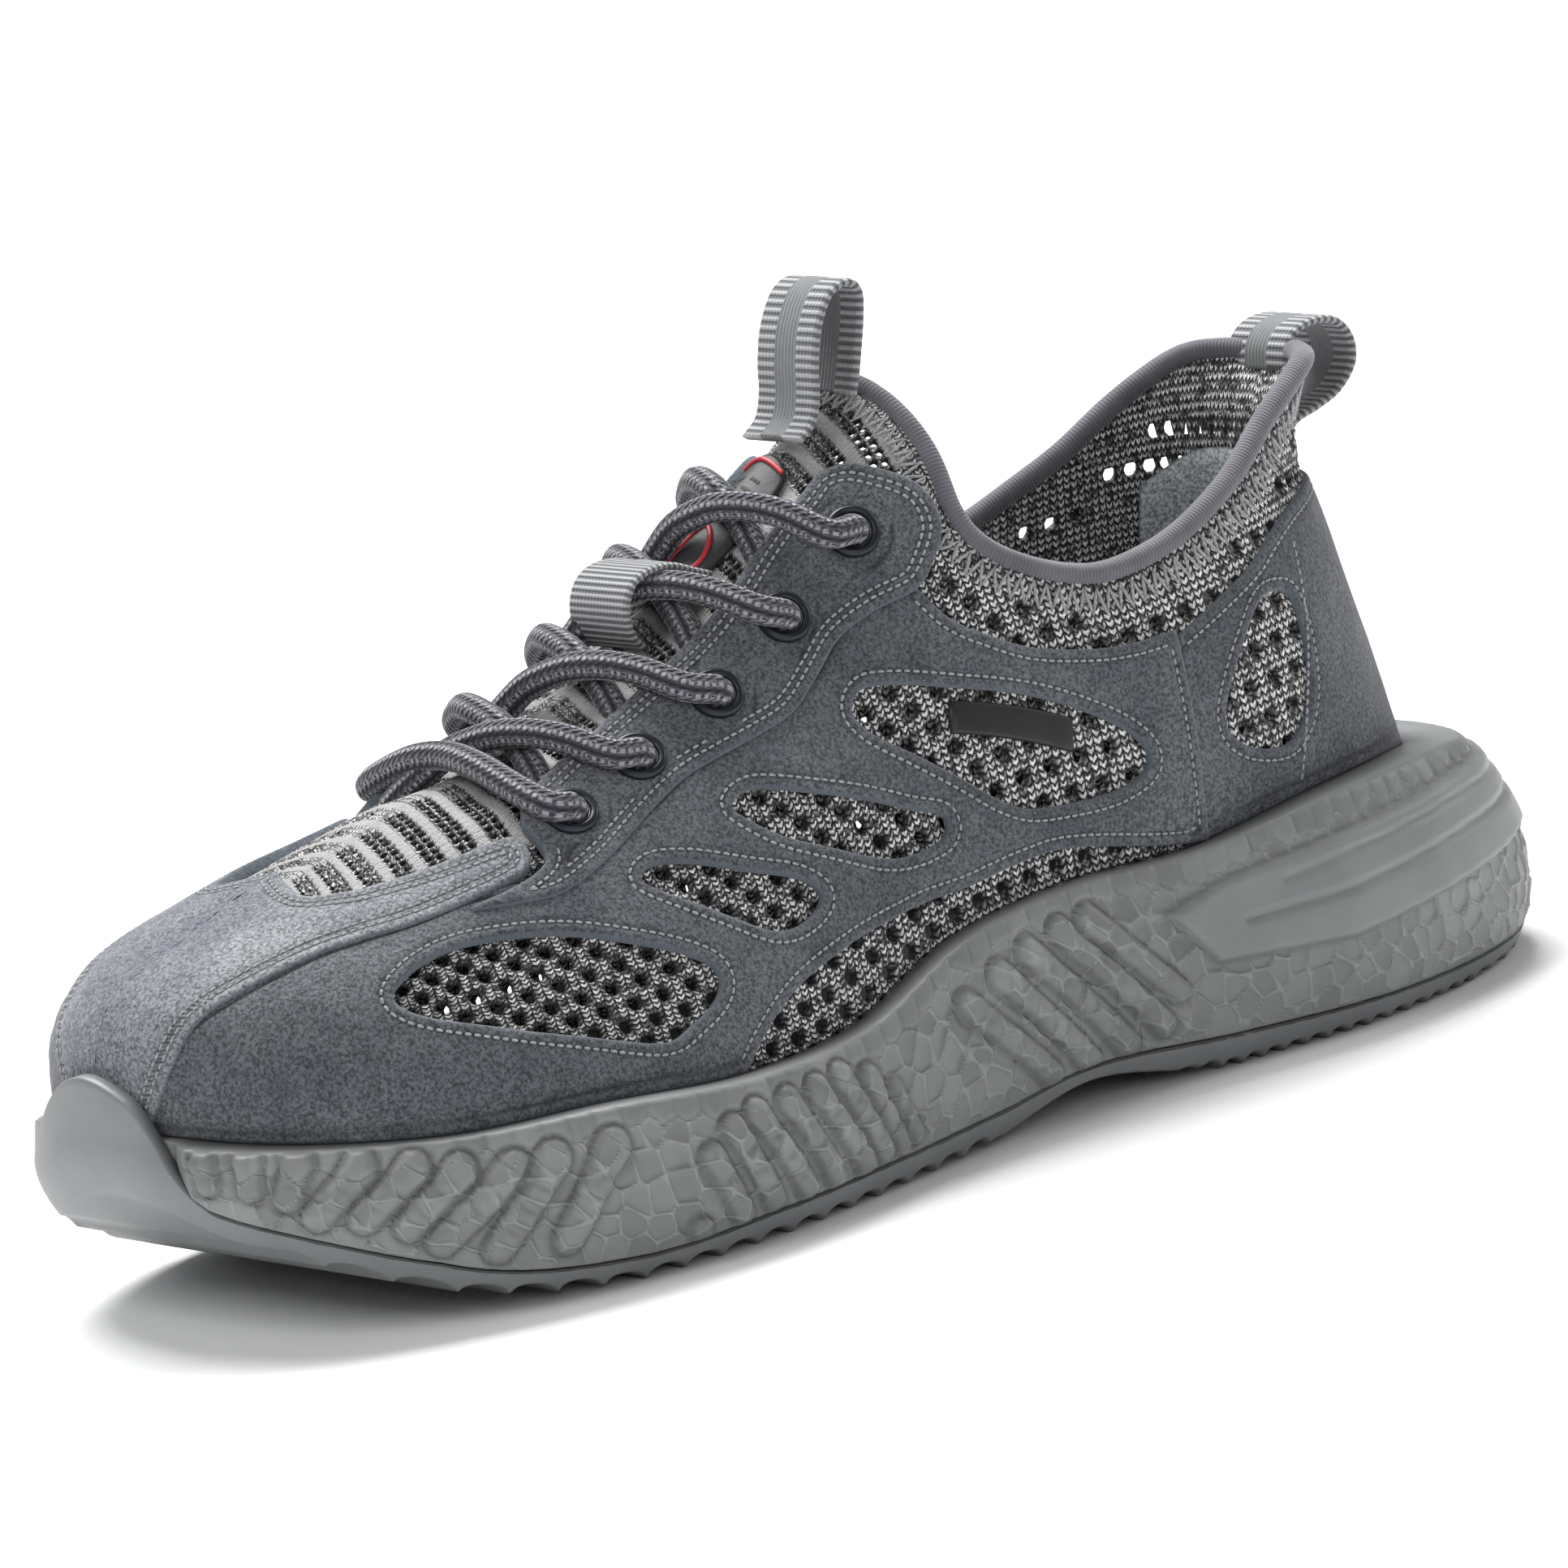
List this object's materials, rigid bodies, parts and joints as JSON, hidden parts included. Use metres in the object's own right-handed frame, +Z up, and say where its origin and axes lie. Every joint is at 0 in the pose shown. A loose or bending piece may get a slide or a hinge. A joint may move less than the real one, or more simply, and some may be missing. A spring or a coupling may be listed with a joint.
{
  "type": "safety sneaker",
  "caption": "Low safety work sneaker: knit upper with suede overlays, crossed round lace in metal eyelets, thick cup sole, pull loops at tongue and heel",
  "frame": {"origin": "On the ground under the shoe, at the middle of its length and width.", "axes": "+X runs from the toe to the heel, +Y to the shoe's inner side and +Z up. It is a left shoe, so its outer side is at -Y."},
  "size_m": [0.2988, 0.114, 0.1471],
  "materials": {
    "sole_rubber": "matte",
    "midsole_foam": "matte",
    "insole_cloth": "matte",
    "knit": "matte",
    "toe_suede": "suede",
    "suede": "suede",
    "binding": "matte",
    "label_rubber": "matte",
    "tag_rubber": "matte",
    "webbing": "matte",
    "eyelet_metal": "satin",
    "lace_cord": "matte"
  },
  "bodies": {
    "root": {"outsole": "sole_rubber", "midsole": "midsole_foam", "insole": "insole_cloth", "upper": "knit", "toe_cap": "toe_suede", "heel_counter": "suede", "quarter_outer": "suede", "quarter_inner": "suede", "eyestay_outer": "suede", "eyestay_inner": "suede", "collar_binding": "binding", "tongue_label": "label_rubber", "side_tag": "tag_rubber", "lace_keeper": "webbing", "tongue_loop": "webbing", "heel_loop": "webbing", "eyelet_outer_1": "eyelet_metal", "eyelet_outer_2": "eyelet_metal", "eyelet_outer_3": "eyelet_metal", "eyelet_outer_4": "eyelet_metal", "eyelet_outer_5": "eyelet_metal", "eyelet_inner_1": "eyelet_metal", "eyelet_inner_2": "eyelet_metal", "eyelet_inner_3": "eyelet_metal", "eyelet_inner_4": "eyelet_metal", "eyelet_inner_5": "eyelet_metal", "lace_over_1": "lace_cord", "lace_over_2": "lace_cord", "lace_over_3": "lace_cord", "lace_over_4": "lace_cord", "lace_over_5": "lace_cord", "lace_under_1": "lace_cord", "lace_under_2": "lace_cord", "lace_under_3": "lace_cord", "lace_under_4": "lace_cord"}
  },
  "joints": []
}
